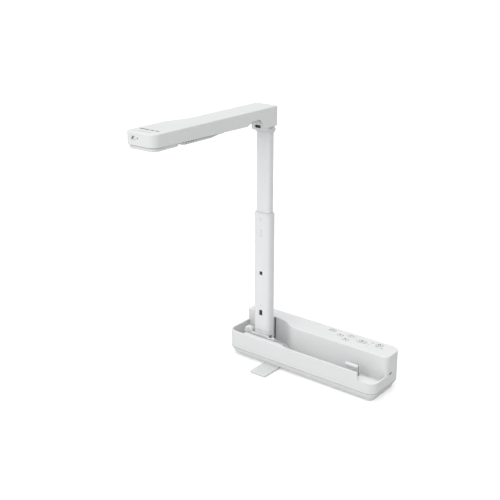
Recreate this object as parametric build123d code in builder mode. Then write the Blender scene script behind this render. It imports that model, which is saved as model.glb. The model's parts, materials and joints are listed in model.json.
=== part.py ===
from build123d import *

import os
from math import sqrt

# Folding document camera: a long flat base, a telescoping column that folds
# about a Y axis, and a camera arm hinged on top. Millimetres.
# Frame: origin at the centre of the base's footprint on the table, +X to the
# right end of the base, +Y to the back, +Z up.
# The camera arm points along -Y in the rest pose.

os.makedirs("parts", exist_ok=True)

# ---------------------------------------------------------------- base sizes
BASE_L = 248.0          # along X
BASE_D = 70.4           # along Y
PLAN_R = 12.6           # plan corner radius
BASE_PLAN = (BASE_L, BASE_D, PLAN_R)
BOTTOM_Z = 1.2          # underside of the bottom cover
RECESS_Z = 3.3          # ceiling of the stabiliser recess
SKIRT_Z = 13.0          # parting line of the two covers
SKIRT_INSET = 6.1       # how far the bottom cover tucks in
WALL = 2.2
TRAY_Z = 39.1           # top of the front wall
LEDGE_Z = 28.3          # low ledge at the right end
FLOOR_Z = 20.0          # tray floor
HOUSING_Z = 56.4        # top of the rear housing
PANEL_T = 2.2
PANEL_UNDER = HOUSING_Z - PANEL_T
RECESS_END = 126.5      # right end of the stabiliser recess, from the left end


def x_at(distance):
    """X of a point measured from the base's left end."""
    return distance - BASE_L / 2


def y_at(distance):
    """Y of a point measured from the base's front face."""
    return distance - BASE_D / 2


def arm_x(distance):
    """X of a point on the arm, whose stations start 2.1 mm further right."""
    return distance + 2.1 - BASE_L / 2


# -------------------------------------------------------------- column sizes
COL_X, COL_Y = x_at(47.8), y_at(24.0)
COL_AXIS = (COL_X, COL_Y)
PIVOT_Z = 58.9          # column fold axis, along Y
PIVOT = (COL_X, PIVOT_Z)
PIVOT_BORE_R = 3.0
COL_BOTTOM, COL_TOP = 45.2, 221.9
COLLAR_TOP = 223.1
BUSH_BOTTOM = 181.0
INNER_BOTTOM, INNER_TOP = 165.0, 337.4
CAM_R = 24.0            # rounded foot of the column, about the fold axis

# ----------------------------------------------------------------- arm sizes
ARM_TOP = 373.5
ARM_RIGHT, ARM_LEFT, HEAD_LEFT = arm_x(64.3), arm_x(27.3), arm_x(17.3)
ARM_BACK, ARM_TIP = y_at(28.0), y_at(-207.4)
ARM_WALL = 1.8
ARM_CUT_Z = 341.4       # below every face of the arm shell
EAR_Z = 347.0           # underside of the arm at the hinge
POST_TOP = 372.4        # ears and posts end inside the top wall
HINGE_Y, HINGE_Z = y_at(18.5), 349.0
HINGE = (HINGE_Y, HINGE_Z)
KNUCKLE_R = 6.8
KNUCKLE_HALF_W = 14.0
PIN_R = 2.5
EAR_INNER_LEFT, EAR_INNER_RIGHT = ARM_LEFT + 3.8, ARM_RIGHT - 4.0
UNDER_Z = 358.0         # under plate's lower face
UNDER_T = 1.6
UNDER_TOP = UNDER_Z + UNDER_T
COVER_Z = 352.2         # lowest face of the head
LENS_X, LENS_Y = arm_x(46.0), y_at(-134.0)
LENS = (LENS_X, LENS_Y)

# ------------------------------------------------------------- foot and catch
FOOT_X, FOOT_Y = x_at(76.5), y_at(17.0)
FOOT_PIVOT = (FOOT_X, FOOT_Y)
FOOT_W = 26.8
FOOT_TIP = y_at(-29.0)
CATCH_LEFT, CATCH_RIGHT = x_at(194.0), x_at(213.6)
CATCH_Y, CATCH_PIVOT_Z = y_at(18.0), 22.6
CATCH_PIVOT = (CATCH_Y, CATCH_PIVOT_Z)

# ------------------------------------------------------------- control panel
KEYS = {  # centre from the left end and the front face, width, depth
    "key_left": (142.6, 60.9, 10.0, 5.6),
    "key_zoom_out": (159.8, 54.1, 8.4, 5.2),
    "key_zoom_in": (172.8, 46.9, 8.4, 5.2),
    "key_mode": (173.6, 60.5, 8.4, 5.2),
    "key_capture": (194.7, 54.9, 14.0, 7.0),
    "key_power": (219.9, 59.9, 9.0, 9.0),
}
KEY_GAP = 0.3
PANEL_BOARD_Z = 47.5
PANEL_BOARD_T = 1.4
PANEL_BOARD_TOP = PANEL_BOARD_Z + PANEL_BOARD_T
STATUS_LIGHT = (x_at(210.0), y_at(59.9))
MAIN_BOARD_Z = 24.0
USB_CENTRE = (x_at(118), 31.3)          # x, z
LOCK_SLOT_CENTRE = (y_at(44), 29)       # y, z
LOCK_SLOT = (7.0, 3.0, 1.0)

# ------------------------------------------- posts and screws, (x, y) centres
# The first two base screws are the back pair.
BASE_SCREWS = [(x_at(15), y_at(57)), (x_at(233), y_at(57)),
               (x_at(233), y_at(13.5)), (x_at(15), y_at(13.5))]
BOARD_POSTS = [(x_at(106), y_at(41)), (x_at(222), y_at(41)),
               (x_at(106), y_at(61)), (x_at(222), y_at(61))]
PANEL_POSTS = [(x_at(134), y_at(43)), (x_at(134), y_at(64.5)),
               (x_at(225.5), y_at(43)), (x_at(225.5), y_at(65.5))]
ARM_POSTS = [(arm_x(23.8), y_at(-188)), (arm_x(57.8), y_at(-188)),
             (arm_x(32.5), y_at(-60)), (arm_x(58.5), y_at(-60))]
BRACKET_SCREWS = [(x_at(36.0), y_at(24)), (x_at(66.0), y_at(24))]


# -------------------------------------------------------------------- helpers
def plane_x(x):
    """Sketch plane facing +X; sketch coordinates are (y, z)."""
    return Plane.YZ.offset(x)


def plane_y(y):
    """Sketch plane facing -Y, coordinates (x, z); a negative extrusion runs backwards."""
    return Plane.XZ.offset(-y)


def plane_z(z):
    """Sketch plane facing +Z; sketch coordinates are (x, y)."""
    return Plane.XY.offset(z)


def inset(section, gap):
    """Rounded rectangle (width, depth, radius) moved in by gap on every side."""
    width, depth, radius = section
    return width - 2 * gap, depth - 2 * gap, radius - gap


def rect_between(start_1, end_1, start_2, end_2, radius=0, mode=Mode.ADD):
    """Rectangle between two limits along each sketch axis."""
    width, depth = end_1 - start_1, end_2 - start_2
    with Locations(((start_1 + end_1) / 2, (start_2 + end_2) / 2)):
        if radius:
            RectangleRounded(width, depth, radius, mode=mode)
        else:
            Rectangle(width, depth, mode=mode)


def finish(builder, label):
    """Label the part and write its STEP file."""
    builder.part.label = label
    export_step(builder.part, f"parts/{label}.step")


def build_screws(label, centres, stages):
    """Upright screws; stages are (bottom z, radius, length, hex socket radius or None)."""
    with BuildPart() as screws:
        for centre in centres:
            for bottom, radius, length, socket_r in stages:
                with BuildSketch(plane_z(bottom)):
                    with Locations(centre):
                        Circle(radius)
                        if socket_r:
                            RegularPolygon(socket_r, 6, mode=Mode.SUBTRACT)
                extrude(amount=length)
    finish(screws, label)


# Sections of the column, (width, thickness, corner radius)
COLUMN = (28.4, 16.0, 6.0)
BORE = inset(COLUMN, 1.3)
INNER = (24.2, 11.9, 4.3)
INNER_BORE = inset(INNER, 1.2)

# ================================================================ bottom cover
# Rubber feet seats: centre from the left end and the front face, width, depth
FEET = [(168, 47.3, 136, 28.6), (39, 47.5, 50, 28.2), (182, 18.5, 84, 17)]
RECESS_FEET = [(36, 21, 20, 13)]        # stands in the stabiliser recess
FEET_R = 4
FEET_TOP, RECESS_FEET_TOP = 1.7, 3.8
FEET_GAP = 0.1
BOSS_START = 3.2                        # bosses start inside the cover's floor

with BuildPart() as bottom_cover:
    with BuildSketch(plane_z(BOTTOM_Z)):
        RectangleRounded(*inset(BASE_PLAN, SKIRT_INSET))
    with BuildSketch(plane_z(SKIRT_Z)):
        RectangleRounded(*BASE_PLAN)
    loft(ruled=True)
    # inside
    with BuildSketch(plane_z(3.4)):
        RectangleRounded(*inset(BASE_PLAN, 7.2))
    with BuildSketch(plane_z(SKIRT_Z)):
        RectangleRounded(*inset(BASE_PLAN, WALL))
    loft(ruled=True, mode=Mode.SUBTRACT)
    # raised floor over the stabiliser recess
    with BuildSketch(plane_z(3.0)):
        rect_between(x_at(7.0), x_at(RECESS_END + 2), y_at(7.6), y_at(33.4))
    extrude(amount=2.4)
    # screw bosses, foot boss, board posts
    with BuildSketch(plane_z(BOSS_START)):
        with Locations(*BASE_SCREWS):
            Circle(4.2)
    extrude(amount=SKIRT_Z - BOSS_START)
    with BuildSketch(plane_z(5.0)):
        with Locations(FOOT_PIVOT):
            Circle(4.5)
    extrude(amount=7.5)
    with BuildSketch(plane_z(BOSS_START)):
        with Locations(*BOARD_POSTS):
            Circle(2.8)
    extrude(amount=MAIN_BOARD_Z - BOSS_START)
    # recess for the stabiliser, open at the front and the left
    with BuildSketch(plane_z(BOTTOM_Z - 1)):
        rect_between(x_at(-3), x_at(RECESS_END), y_at(-3), y_at(31.5))
    extrude(amount=RECESS_Z - BOTTOM_Z + 1, mode=Mode.SUBTRACT)
    # counterbored screw holes, then the foot's pilot hole
    for centres, radius, depth in (
        (BASE_SCREWS, 3.1, 7.0),
        (BASE_SCREWS, 1.6, SKIRT_Z + 1),
        ([FOOT_PIVOT], 1.5, 11.4),
    ):
        with BuildSketch(plane_z(0)):
            with Locations(*centres):
                Circle(radius)
        extrude(amount=depth, mode=Mode.SUBTRACT)
    # shallow seats for the rubber feet
    for feet, seat_top in ((FEET, FEET_TOP), (RECESS_FEET, RECESS_FEET_TOP)):
        with BuildSketch(plane_z(0)):
            for x, y, width, depth in feet:
                with Locations((x_at(x), y_at(y))):
                    RectangleRounded(width, depth, FEET_R)
        extrude(amount=seat_top, mode=Mode.SUBTRACT)
finish(bottom_cover, "bottom_cover")

with BuildPart() as rubber_feet:
    with BuildSketch(plane_z(0)):
        for x, y, width, depth in FEET:
            with Locations((x_at(x), y_at(y))):
                RectangleRounded(*inset((width, depth, FEET_R), FEET_GAP))
        # clear of the screw counterbores
        with Locations(*BASE_SCREWS):
            Circle(3.6, mode=Mode.SUBTRACT)
    extrude(amount=FEET_TOP)
    with BuildSketch(plane_z(0)):
        for x, y, width, depth in RECESS_FEET:
            with Locations((x_at(x), y_at(y))):
                RectangleRounded(*inset((width, depth, FEET_R), FEET_GAP))
    extrude(amount=RECESS_FEET_TOP)
finish(rubber_feet, "rubber_feet")

# =============================================================== upper housing
# Front face of the rear housing: set well back at the left end, where the
# column folds, and further forward along the rest of the tray.
REAR_LEFT_Y, REAR_Y = y_at(47.0), y_at(33.1)


def region_behind(offset, bend_start, bend_middle, bend_end):
    """Region behind the rear housing's front line, moved back by offset.

    The bend stations are measured from the left end.
    """
    left_y, right_y = REAR_LEFT_Y + offset, REAR_Y + offset
    start, middle, end = x_at(bend_start), x_at(bend_middle), x_at(bend_end)
    with BuildSketch() as region:
        with BuildLine():
            Line((x_at(-5), left_y), (start, left_y))
            Bezier((start, left_y), (middle, left_y), (middle, right_y), (end, right_y))
            Polyline((end, right_y), (x_at(253), right_y), (x_at(253), y_at(80)),
                     (x_at(-5), y_at(80)), (x_at(-5), left_y))
        make_face()
    return region.sketch


outer_region = region_behind(0, 55, 80, 98)
inner_region = region_behind(WALL, 55.6, 81, 98.6)

with BuildPart() as rear_block:
    with BuildSketch(plane_z(SKIRT_Z)) as rear_plan:
        RectangleRounded(*BASE_PLAN)
        add(outer_region, mode=Mode.INTERSECT)
        # front corners at the left end, then at the right end
        fillet(rear_plan.vertices().filter_by(
            lambda v: abs(v.X + BASE_L / 2) < 0.01 and v.Y < y_at(48)), 1.8)
        fillet(rear_plan.vertices().filter_by(
            lambda v: abs(v.X - BASE_L / 2) < 0.01 and v.Y < y_at(48)), 6.0)
    extrude(amount=HOUSING_Z - SKIRT_Z)
    fillet(rear_block.faces().sort_by(Axis.Z)[-1].edges(), 1.2)

with BuildPart() as rear_cavity:
    with BuildSketch(plane_z(SKIRT_Z - 1)):
        RectangleRounded(*inset(BASE_PLAN, WALL))
        add(inner_region, mode=Mode.INTERSECT)
    extrude(amount=PANEL_UNDER - SKIRT_Z + 1)

WALL_END_X = x_at(220.6)        # right end of the full-height front wall
DROP_END_X = x_at(223.4)        # where its end curve meets the ledge
OPENING_Z = HOUSING_Z - 4       # openings in the top panel are cut from here
OPENING_H = 6

with BuildPart() as upper_housing:
    with BuildSketch(plane_z(SKIRT_Z)):
        RectangleRounded(*BASE_PLAN)
    extrude(amount=TRAY_Z - SKIRT_Z)
    fillet(upper_housing.faces().sort_by(Axis.Z)[-1].edges(), 0.5)
    # the front wall drops to a low ledge at the right end
    with BuildSketch(plane_y(y_at(80))):
        with BuildLine():
            Polyline((WALL_END_X, TRAY_Z), (WALL_END_X, TRAY_Z + 5), (x_at(255), TRAY_Z + 5),
                     (x_at(255), LEDGE_Z), (DROP_END_X, LEDGE_Z))
            Bezier((DROP_END_X, LEDGE_Z), (x_at(222.0), LEDGE_Z),
                   (x_at(222.0), TRAY_Z), (WALL_END_X, TRAY_Z))
        make_face()
    extrude(amount=90, mode=Mode.SUBTRACT)
    # open tray
    with BuildSketch(plane_z(FLOOR_Z)):
        RectangleRounded(*inset(BASE_PLAN, WALL))
        # shelf behind the front wall, beside the column
        with BuildLine():
            Polyline((x_at(27), y_at(0)), (x_at(27), y_at(7.3)), (x_at(84), y_at(7.3)))
            Bezier((x_at(84), y_at(7.3)), (x_at(96), y_at(7.3)),
                   (x_at(96), y_at(WALL)), (x_at(108), y_at(WALL)))
            Polyline((x_at(108), y_at(WALL)), (x_at(108), y_at(0)), (x_at(27), y_at(0)))
        make_face(mode=Mode.SUBTRACT)
        # ledge at the right end
        rect_between(x_at(217.4), x_at(250), y_at(0), y_at(15.4), mode=Mode.SUBTRACT)
    extrude(amount=30, mode=Mode.SUBTRACT)
    # the ledge runs on behind the end of the front wall
    with BuildSketch(plane_z(LEDGE_Z)):
        rect_between(x_at(216.4), x_at(225.4), y_at(WALL), y_at(17.4))
    extrude(amount=20, mode=Mode.SUBTRACT)
    add(rear_block.part)
    # hollow inside
    add(rear_cavity.part, mode=Mode.SUBTRACT)
    with BuildSketch(plane_z(SKIRT_Z - 1)):
        RectangleRounded(*inset(BASE_PLAN, WALL))
    extrude(amount=6.0, mode=Mode.SUBTRACT)
    # bosses for the base screws; the back pair runs up to the top panel
    for centres, boss_top in ((BASE_SCREWS, FLOOR_Z), (BASE_SCREWS[:2], HOUSING_Z - 1)):
        with BuildSketch(plane_z(SKIRT_Z)):
            with Locations(*centres):
                Circle(3.6)
        extrude(amount=boss_top - SKIRT_Z)
    with BuildSketch(plane_z(SKIRT_Z - 1)):
        with Locations(*BASE_SCREWS):
            Circle(1.3)
    extrude(amount=5.6, mode=Mode.SUBTRACT)
    # bosses that carry the key board
    with BuildSketch(plane_z(PANEL_BOARD_Z + 1.5)):
        with Locations(*PANEL_POSTS):
            Circle(2.4)
    extrude(amount=PANEL_UNDER - PANEL_BOARD_Z - 1.4)
    with BuildSketch(plane_z(PANEL_BOARD_Z)):
        with Locations(*PANEL_POSTS):
            Circle(1.0)
    extrude(amount=6.2, mode=Mode.SUBTRACT)
    # key openings
    for x, y, width, depth in KEYS.values():
        with BuildSketch(plane_z(OPENING_Z)):
            with Locations((x_at(x), y_at(y))):
                RectangleRounded(width + 2 * KEY_GAP, depth + 2 * KEY_GAP,
                                 min(width, depth) / 2 - 0.05)
        extrude(amount=OPENING_H, mode=Mode.SUBTRACT)
    # status light, microphone slots
    with BuildSketch(plane_z(OPENING_Z)):
        with Locations(STATUS_LIGHT):
            Circle(0.95)
        with Locations((x_at(113.4), y_at(66.6)), (x_at(117.0), y_at(66.6))):
            SlotOverall(2.6, 0.9)
    extrude(amount=OPENING_H, mode=Mode.SUBTRACT)
    # narrow slot beside the hinge, where the cable leaves the housing
    with BuildSketch(plane_z(FLOOR_Z + 0.5)):
        with Locations((x_at(50.5), y_at(48.5))):
            Rectangle(3.0, 5.0)
    extrude(amount=HOUSING_Z - 1.4 - FLOOR_Z - 0.5, mode=Mode.SUBTRACT)
    # socket opening in the back wall
    with BuildSketch(plane_y(y_at(66))):
        with Locations(USB_CENTRE):
            RectangleRounded(12.6, 11.4, 0.8)
    extrude(amount=-8, mode=Mode.SUBTRACT)
    # security slot in the right end
    with BuildSketch(plane_x(x_at(244))):
        with Locations(LOCK_SLOT_CENTRE):
            RectangleRounded(*LOCK_SLOT)
    extrude(amount=6, mode=Mode.SUBTRACT)
finish(upper_housing, "upper_housing")

# ------------------------------------------------------- base screws, ballast
build_screws("base_screws", BASE_SCREWS, [
    (4.2, 2.9, 1.4, 1.4),
    (5.6, 2.9, 1.4, None),
    (7.0, 1.25, 10.0, None),
])

with BuildPart() as ballast_plate:
    with BuildSketch(plane_z(3.45)):
        with Locations((x_at(123), y_at(48.6))):
            Rectangle(222, 22.8)
        with Locations((x_at(182.5), y_at(24))):
            Rectangle(103, 28)
        # clear of the bosses and posts
        with Locations(*BASE_SCREWS):
            Circle(4.8, mode=Mode.SUBTRACT)
        with Locations(*BOARD_POSTS):
            Circle(3.4, mode=Mode.SUBTRACT)
    extrude(amount=7.0)
finish(ballast_plate, "ballast_plate")

# ----------------------------------------------------------------- electronics
MAIN_BOARD_T = 1.6
CHIPS = [  # centre from the left end and the front face, width, depth
    (165, 50, 14, 14), (190, 54, 10, 8), (145, 56, 8, 6),
]

with BuildPart() as main_board:
    with BuildSketch(plane_z(MAIN_BOARD_Z)):
        with Locations((x_at(163.5), y_at(51.5))):
            RectangleRounded(127, 31, 2)
    extrude(amount=MAIN_BOARD_T)
    with BuildSketch(plane_z(MAIN_BOARD_Z + MAIN_BOARD_T)):
        for x, y, width, depth in CHIPS:
            with Locations((x_at(x), y_at(y))):
                Rectangle(width, depth)
    extrude(amount=1.4)
finish(main_board, "main_board")

USB_BORE = (11.2, 10.0, 0.4)
USB_BORE_Y = y_at(55.4)         # front end of the bore
USB_PLUG_T = 3                  # block that closes the bore's front end

with BuildPart() as usb_socket:
    with BuildSketch(plane_y(y_at(54.6))):
        with Locations(USB_CENTRE):
            RectangleRounded(12.0, 10.8, 0.6)
    extrude(amount=-15.4)
    with BuildSketch(plane_y(USB_BORE_Y)):
        with Locations(USB_CENTRE):
            RectangleRounded(*USB_BORE)
    extrude(amount=-16, mode=Mode.SUBTRACT)
finish(usb_socket, "usb_socket")

with BuildPart() as usb_insert:
    with BuildSketch(plane_y(USB_BORE_Y)):
        with Locations(USB_CENTRE):
            RectangleRounded(*USB_BORE)
    extrude(amount=-USB_PLUG_T)
    with BuildSketch(plane_y(USB_BORE_Y + USB_PLUG_T)):
        with Locations(USB_CENTRE):
            Rectangle(5.6, 3.2)
    extrude(amount=-8.6)
finish(usb_insert, "usb_insert")

with BuildPart() as lock_plate:
    with BuildSketch(plane_x(x_at(244.2))):
        with Locations((y_at(44), 30)):
            RectangleRounded(14, 11, 1)
        with Locations(LOCK_SLOT_CENTRE):
            RectangleRounded(*LOCK_SLOT, mode=Mode.SUBTRACT)
    extrude(amount=1.55)
finish(lock_plate, "lock_plate")

with BuildPart() as panel_board:
    with BuildSketch(plane_z(PANEL_BOARD_Z)):
        with Locations((x_at(179.4), y_at(53.4))):
            RectangleRounded(98.4, 28, 2)
        with Locations(*PANEL_POSTS):
            Circle(1.05, mode=Mode.SUBTRACT)
    extrude(amount=PANEL_BOARD_T)
finish(panel_board, "panel_board")

SWITCH_W, SWITCH_H = 4.6, 1.6

with BuildPart() as tact_switches:
    for x, y, _, _ in KEYS.values():
        with BuildSketch(plane_z(PANEL_BOARD_TOP)):
            with Locations((x_at(x), y_at(y))):
                Rectangle(SWITCH_W, SWITCH_W)
        extrude(amount=SWITCH_H)
        with BuildSketch(plane_z(PANEL_BOARD_TOP + SWITCH_H)):
            with Locations((x_at(x), y_at(y))):
                Circle(1.3)
        extrude(amount=0.9)
finish(tact_switches, "tact_switches")

build_screws("panel_screws", PANEL_POSTS, [
    (PANEL_BOARD_Z - 1.2, 2.0, 1.2, None),
    (PANEL_BOARD_Z, 0.95, 5.6, None),
])

with BuildPart() as status_led:
    with BuildSketch(plane_z(PANEL_BOARD_TOP)):
        with Locations(STATUS_LIGHT):
            Circle(0.85)
    extrude(amount=HOUSING_Z - PANEL_BOARD_Z - 1.3)
finish(status_led, "status_led")

MICROPHONE_H = 2.6

with BuildPart() as microphone:
    with BuildSketch(plane_z(PANEL_UNDER - MICROPHONE_H)):
        with Locations((x_at(115.2), y_at(65.6))):
            RectangleRounded(8, 4.6, 1.0)
    extrude(amount=MICROPHONE_H)
finish(microphone, "microphone")

# ------------------------------------------------------------------ panel keys
KEY_ROOT = 0.9                          # cap starts this far below the panel
KEY_PROUD = 0.6                         # cap stands this far above it
STEM_BOTTOM = PANEL_BOARD_Z + 4.65


def build_key(label, x, y, width, depth):
    """Key cap with a retaining flange under the panel and a stem to its switch."""
    centre = (x_at(x), y_at(y))
    half_side = min(width, depth) / 2
    with BuildPart() as key:
        with BuildSketch(plane_z(PANEL_UNDER - KEY_ROOT)):
            with Locations(centre):
                RectangleRounded(width, depth, half_side - 0.15)
        extrude(amount=PANEL_T + KEY_ROOT + KEY_PROUD)
        fillet(key.faces().sort_by(Axis.Z)[-1].edges(), 0.35)
        # flange
        with BuildSketch(plane_z(PANEL_UNDER - 1.5)):
            with Locations(centre):
                RectangleRounded(width + 1.4, depth + 1.4, half_side + 0.4)
        extrude(amount=1.3)
        # stem
        with BuildSketch(plane_z(STEM_BOTTOM)):
            with Locations(centre):
                Circle(1.5)
        extrude(amount=PANEL_UNDER - 1.4 - STEM_BOTTOM)
    finish(key, label)


for key_name, placement in KEYS.items():
    build_key(key_name, *placement)

# ============================================================ stabiliser foot
PAD_CENTRE = (FOOT_X, FOOT_TIP + 9)
PAD_SEAT = (20, 10, 2)
PAD_TOP = 1.1
GROOVE_COUNT, GROOVE_PITCH = 5, 4.0

with BuildPart() as stabilizer_foot:
    with BuildSketch(plane_z(0.7)) as foot_plan:
        with Locations(FOOT_PIVOT):
            Circle(FOOT_W / 2)
        rect_between(FOOT_X - FOOT_W / 2, FOOT_X + FOOT_W / 2, FOOT_TIP, FOOT_Y)
        fillet(foot_plan.vertices().group_by(Axis.Y)[0], 2.0)
    extrude(amount=2.35)
    fillet(stabilizer_foot.faces().sort_by(Axis.Z)[-1].edges(), 0.5)
    # counterbore and bore for the pivot screw
    for radius, depth in ((5.2, 1.75), (2.56, 5)):
        with BuildSketch(plane_z(0)):
            with Locations(FOOT_PIVOT):
                Circle(radius)
        extrude(amount=depth, mode=Mode.SUBTRACT)
    # seat for the pad
    with BuildSketch(plane_z(0)):
        with Locations(PAD_CENTRE):
            RectangleRounded(*PAD_SEAT)
    extrude(amount=PAD_TOP, mode=Mode.SUBTRACT)
    # shallow grip grooves across the tip
    with BuildSketch(plane_z(2.7)):
        with Locations(*[(FOOT_X, FOOT_TIP + 4.6 + GROOVE_PITCH * n)
                         for n in range(GROOVE_COUNT)]):
            RectangleRounded(FOOT_W - 5, 0.9, 0.4)
    extrude(amount=1.0, mode=Mode.SUBTRACT)
finish(stabilizer_foot, "stabilizer_foot")

with BuildPart() as foot_pad:
    with BuildSketch(plane_z(0)):
        with Locations(PAD_CENTRE):
            RectangleRounded(*inset(PAD_SEAT, 0.05))
    extrude(amount=PAD_TOP)
finish(foot_pad, "foot_pad")

PIVOT_HEAD_R = 5.0
PIVOT_HEAD_TOP = 1.7

with BuildPart() as foot_pivot_screw:
    # slotted head
    with BuildSketch(plane_z(0.9)):
        with Locations(FOOT_PIVOT):
            Circle(PIVOT_HEAD_R)
            Rectangle(5.0, 0.9, mode=Mode.SUBTRACT)
    extrude(amount=0.35)
    # rest of the head, shoulder, thread
    for bottom, radius, length in (
        (1.25, PIVOT_HEAD_R, 0.45),
        (PIVOT_HEAD_TOP, 2.5, RECESS_Z - PIVOT_HEAD_TOP),
        (RECESS_Z, 1.48, 7.6),
    ):
        with BuildSketch(plane_z(bottom)):
            with Locations(FOOT_PIVOT):
                Circle(radius)
        extrude(amount=length)
finish(foot_pivot_screw, "foot_pivot_screw")

# ======================================================= column hinge bracket
EAR_R = 7.2
DRUM_X, DRUM_Z = x_at(24.6), 37.8
DRUM_AXIS = (DRUM_X, DRUM_Z)
DRUM_LUG_R = 4.4
DRUM_Y, DRUM_W = y_at(15.6), 6.0        # front face of the drum, width along Y
BRACKET_T = 2.5

with BuildPart() as column_bracket:
    # base plate on the tray floor
    with BuildSketch(plane_z(FLOOR_Z)):
        rect_between(x_at(19), x_at(76), y_at(9), y_at(37), radius=3)
    extrude(amount=BRACKET_T)
    # rear ear that carries the fold pin
    with BuildSketch(plane_y(y_at(33))):
        with Locations(PIVOT):
            Circle(EAR_R)
        rect_between(COL_X - EAR_R, COL_X + EAR_R, FLOOR_Z + 1, PIVOT_Z)
    extrude(amount=-4)
    # front cheek with a round notch in its top edge
    with BuildSketch(plane_y(y_at(11.8))):
        rect_between(x_at(33), x_at(74), FLOOR_Z, 40.2, radius=1.2)
        with Locations((x_at(66.0), 41.2)):
            Circle(3.4, mode=Mode.SUBTRACT)
    extrude(amount=-3.5)
    # lug for the guide drum
    with BuildSketch(plane_y(DRUM_Y + DRUM_W)):
        with Locations(DRUM_AXIS):
            Circle(DRUM_LUG_R)
        rect_between(DRUM_X - DRUM_LUG_R, DRUM_X + DRUM_LUG_R, FLOOR_Z + 1, DRUM_Z)
    extrude(amount=-4)
    # pin bore
    with BuildSketch(plane_y(y_at(32))):
        with Locations(PIVOT):
            Circle(PIVOT_BORE_R)
    extrude(amount=-8, mode=Mode.SUBTRACT)
    # screw holes
    with BuildSketch(plane_z(FLOOR_Z - 1)):
        with Locations(*BRACKET_SCREWS):
            Circle(1.6)
    extrude(amount=5, mode=Mode.SUBTRACT)
finish(column_bracket, "column_bracket")

build_screws("bracket_screws", BRACKET_SCREWS, [
    (FLOOR_Z + BRACKET_T, 3.0, 1.0, None),
    (FLOOR_Z + BRACKET_T + 1.0, 3.0, 1.0, 1.3),
    (FLOOR_Z, 1.5, BRACKET_T, None),
])

with BuildPart() as cable_guide_drum:
    with BuildSketch(plane_y(DRUM_Y)):
        with Locations(DRUM_AXIS):
            Circle(7.2)
    extrude(amount=-DRUM_W)
    fillet(cable_guide_drum.faces().sort_by(Axis.Y)[0].edges(), 1.6)
finish(cable_guide_drum, "cable_guide_drum")

with BuildPart() as hinge_pin:
    with BuildSketch(plane_y(y_at(17.6))):
        with Locations(PIVOT):
            Circle(2.95)
    extrude(amount=-21.0)
finish(hinge_pin, "hinge_pin")

# C-shaped clip behind the ear, open at the bottom
with BuildPart() as hinge_pin_clip:
    with BuildSketch(plane_y(y_at(37.05))):
        with Locations(PIVOT):
            Circle(5.0)
            Circle(2.97, mode=Mode.SUBTRACT)
            with Locations((0, -4)):
                Rectangle(2.4, 5, mode=Mode.SUBTRACT)
    extrude(amount=-0.9)
finish(hinge_pin_clip, "hinge_pin_clip")

# between the column's back face and the ear
with BuildPart() as friction_washer:
    with BuildSketch(plane_y(y_at(32.03))):
        with Locations(PIVOT):
            Circle(EAR_R)
            Circle(PIVOT_BORE_R, mode=Mode.SUBTRACT)
    extrude(amount=-0.95)
finish(friction_washer, "friction_washer")

# ---------------------------------------------------------------- spring catch
CATCH_LUG_R = 2.6
RIGHT_LUG_X = CATCH_RIGHT + 0.7         # a thin gap away from the tongue

with BuildPart() as catch_mount:
    # left lug, then right lug
    for lug_x, lug_t in ((CATCH_LEFT - 3.6, 3.4), (RIGHT_LUG_X, 2.4)):
        with BuildSketch(plane_x(lug_x)):
            with Locations((CATCH_Y, FLOOR_Z + 1.5)):
                Rectangle(7.0, 3.0)
            with Locations(CATCH_PIVOT):
                Circle(CATCH_LUG_R)
        extrude(amount=lug_t)
    # tall cheek on the right lug
    with BuildSketch(plane_x(RIGHT_LUG_X)):
        rect_between(CATCH_Y - 1.0, CATCH_Y + 1.6, FLOOR_Z, 38.4, radius=0.8)
    extrude(amount=1.0)
    # the bridge that joins the two lugs behind the tongue
    with BuildSketch(plane_z(FLOOR_Z)):
        with Locations(((CATCH_LEFT + CATCH_RIGHT) / 2, CATCH_Y + 4.4)):
            Rectangle(CATCH_RIGHT - CATCH_LEFT + 7.2, 2.0)
    extrude(amount=2.0)
    # trim to the tray floor
    with BuildSketch(plane_z(FLOOR_Z)):
        with Locations(((CATCH_LEFT + CATCH_RIGHT) / 2, CATCH_Y)):
            Rectangle(40, 20)
    extrude(amount=-5, mode=Mode.SUBTRACT)
    # pin through both lugs
    with BuildSketch(plane_x(CATCH_LEFT - 1)):
        with Locations(CATCH_PIVOT):
            Circle(1.0)
    extrude(amount=CATCH_RIGHT - CATCH_LEFT + 2)
finish(catch_mount, "catch_mount")

with BuildPart() as catch_tongue:
    with BuildSketch(plane_x(CATCH_LEFT)):
        with Locations(CATCH_PIVOT):
            Circle(2.0)
        rect_between(CATCH_Y - 1.0, CATCH_Y + 1.0, CATCH_PIVOT_Z, 38.6)
        # fat rounded lip along the top
        with Locations((CATCH_Y - 1.3, 38.2)):
            RectangleRounded(4.8, 5.2, 2.0)
        with Locations(CATCH_PIVOT):
            Circle(1.06, mode=Mode.SUBTRACT)
    extrude(amount=CATCH_RIGHT - CATCH_LEFT)
finish(catch_tongue, "catch_tongue")

# ============================================================== column, lower
WINDOWS = [  # height of the centre, (width, height, corner radius)
    (73.0, (5.5, 8.2, 0.6)),
    (134.0, (5.0, 5.3, 0.6)),
]
ROUND_WINDOW = (COL_X, 214.0)
ROUND_WINDOW_R = 2.1
PLUG_GAP = 0.05

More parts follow.
